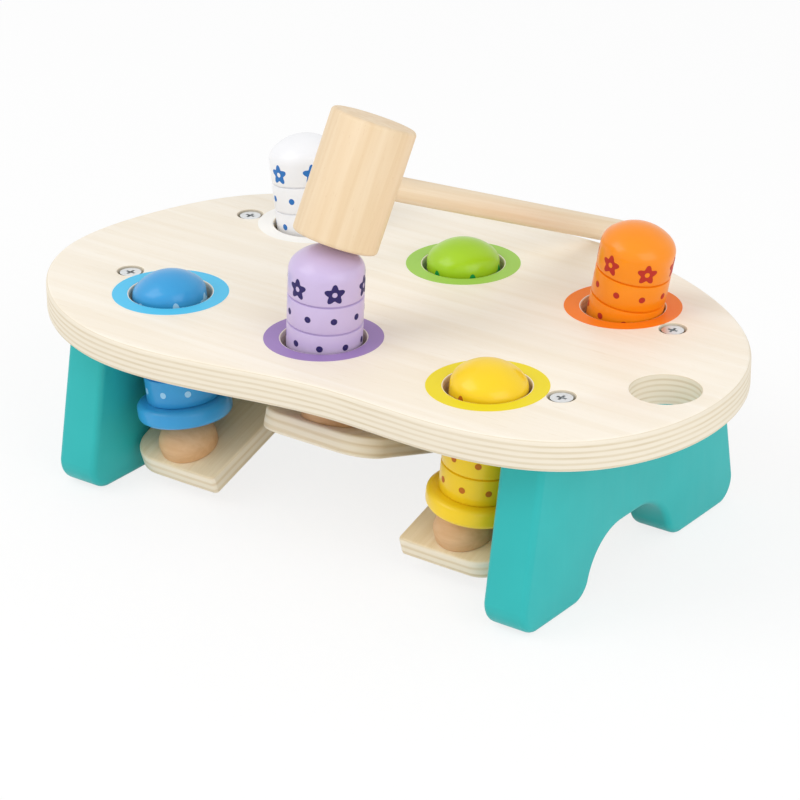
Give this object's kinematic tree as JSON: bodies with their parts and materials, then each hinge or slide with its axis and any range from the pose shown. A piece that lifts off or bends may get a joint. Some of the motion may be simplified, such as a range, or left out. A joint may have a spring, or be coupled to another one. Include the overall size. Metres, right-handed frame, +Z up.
{
  "type": "peg pounding bench",
  "caption": "Bean-shaped plywood bench on two arched legs, with pegs in pairs on rocking boards so that hammering one peg down lifts the other, and a loose hammer.",
  "frame": {"origin": "on the floor, under the middle of the whole object's box, hammer included", "axes": "+X along the bench toward the plain hole, +Y to the back, +Z up"},
  "size_m": [0.289, 0.2111, 0.1671],
  "materials": {
    "birch_ply": "clear lacquered birch plywood",
    "teal_paint": "satin paint on beech",
    "steel": "bright zinc plate",
    "rocker_ply": "bare birch plywood",
    "bare_wood": "bare turned beech",
    "beech": "bare turned beech",
    "blue_paint": "satin paint on turned beech",
    "white_paint": "satin paint on turned beech",
    "purple_paint": "satin paint on turned beech",
    "green_paint": "satin paint on turned beech",
    "yellow_paint": "satin paint on turned beech",
    "orange_paint": "satin paint on turned beech"
  },
  "bodies": {
    "bench": {"bench_top": "birch_ply", "leg_left": "teal_paint", "leg_right": "teal_paint", "pivot_rod": "steel", "spacer_left": "steel", "spacer_right": "steel", "end_spacer_left": "steel", "end_spacer_right": "steel", "screw_front_left": "steel", "screw_front_right": "steel", "screw_back_left": "steel", "screw_back_right": "steel"},
    "rocker_left": {"rocker_left": "rocker_ply", "knob_blue": "bare_wood", "knob_white": "bare_wood"},
    "rocker_centre": {"rocker_centre": "rocker_ply", "knob_purple": "bare_wood", "knob_green": "bare_wood"},
    "rocker_right": {"rocker_right": "rocker_ply", "knob_yellow": "bare_wood", "knob_orange": "bare_wood"},
    "peg_blue": {"peg_blue": "blue_paint", "collar_blue": "blue_paint"},
    "peg_white": {"peg_white": "white_paint", "collar_white": "white_paint"},
    "peg_purple": {"peg_purple": "purple_paint", "collar_purple": "purple_paint"},
    "peg_green": {"peg_green": "green_paint", "collar_green": "green_paint"},
    "peg_yellow": {"peg_yellow": "yellow_paint", "collar_yellow": "yellow_paint"},
    "peg_orange": {"peg_orange": "orange_paint", "collar_orange": "orange_paint"},
    "hammer": {"hammer_head": "beech", "hammer_handle": "beech"}
  },
  "joints": [
    {"name": "rocker_left_tilt", "type": "hinge", "parent": "bench", "child": "rocker_left", "pos_m": [-0.004, -0.01324, 0.027], "axis": [1, 0, 0], "range_deg": [-37.38, 0]},
    {"name": "rocker_centre_tilt", "type": "hinge", "parent": "bench", "child": "rocker_centre", "pos_m": [-0.004, -0.01324, 0.027], "axis": [1, 0, 0], "range_deg": [0, 35.06]},
    {"name": "rocker_right_tilt", "type": "hinge", "parent": "bench", "child": "rocker_right", "pos_m": [-0.004, -0.01324, 0.027], "axis": [1, 0, 0], "range_deg": [-34.35, 0]},
    {"name": "peg_blue_slide", "type": "slide", "parent": "bench", "child": "peg_blue", "axis": [-0.1219, 0, 0.9925], "range_m": [0, 0.02831]},
    {"name": "peg_white_slide", "type": "slide", "parent": "bench", "child": "peg_white", "axis": [-0.1219, 0, 0.9925], "range_m": [-0.02831, 0]},
    {"name": "peg_purple_slide", "type": "slide", "parent": "bench", "child": "peg_purple", "axis": [0.061, 0, 0.9981], "range_m": [-0.02676, 0]},
    {"name": "peg_green_slide", "type": "slide", "parent": "bench", "child": "peg_green", "axis": [0, 0, 1], "range_m": [0, 0.02681]},
    {"name": "peg_yellow_slide", "type": "slide", "parent": "bench", "child": "peg_yellow", "axis": [0.1219, 0, 0.9925], "range_m": [0, 0.02609]},
    {"name": "peg_orange_slide", "type": "slide", "parent": "bench", "child": "peg_orange", "axis": [0.1908, 0, 0.9816], "range_m": [-0.0258, 0]},
    {"name": "hammer_lift", "type": "slide", "parent": "bench", "child": "hammer", "axis": [0, 0, 1], "range_m": [0, 0.12]}
  ],
  "couplings": [
    {"joint": "rocker_left_tilt", "follows": "peg_white_slide", "rad_per_m": 23.047},
    {"joint": "peg_blue_slide", "follows": "peg_white_slide", "ratio": -1},
    {"joint": "rocker_centre_tilt", "follows": "peg_purple_slide", "rad_per_m": -22.869},
    {"joint": "peg_green_slide", "follows": "peg_purple_slide", "ratio": -1.0019},
    {"joint": "rocker_right_tilt", "follows": "peg_orange_slide", "rad_per_m": 23.239},
    {"joint": "peg_yellow_slide", "follows": "peg_orange_slide", "ratio": -1.0111}
  ]
}
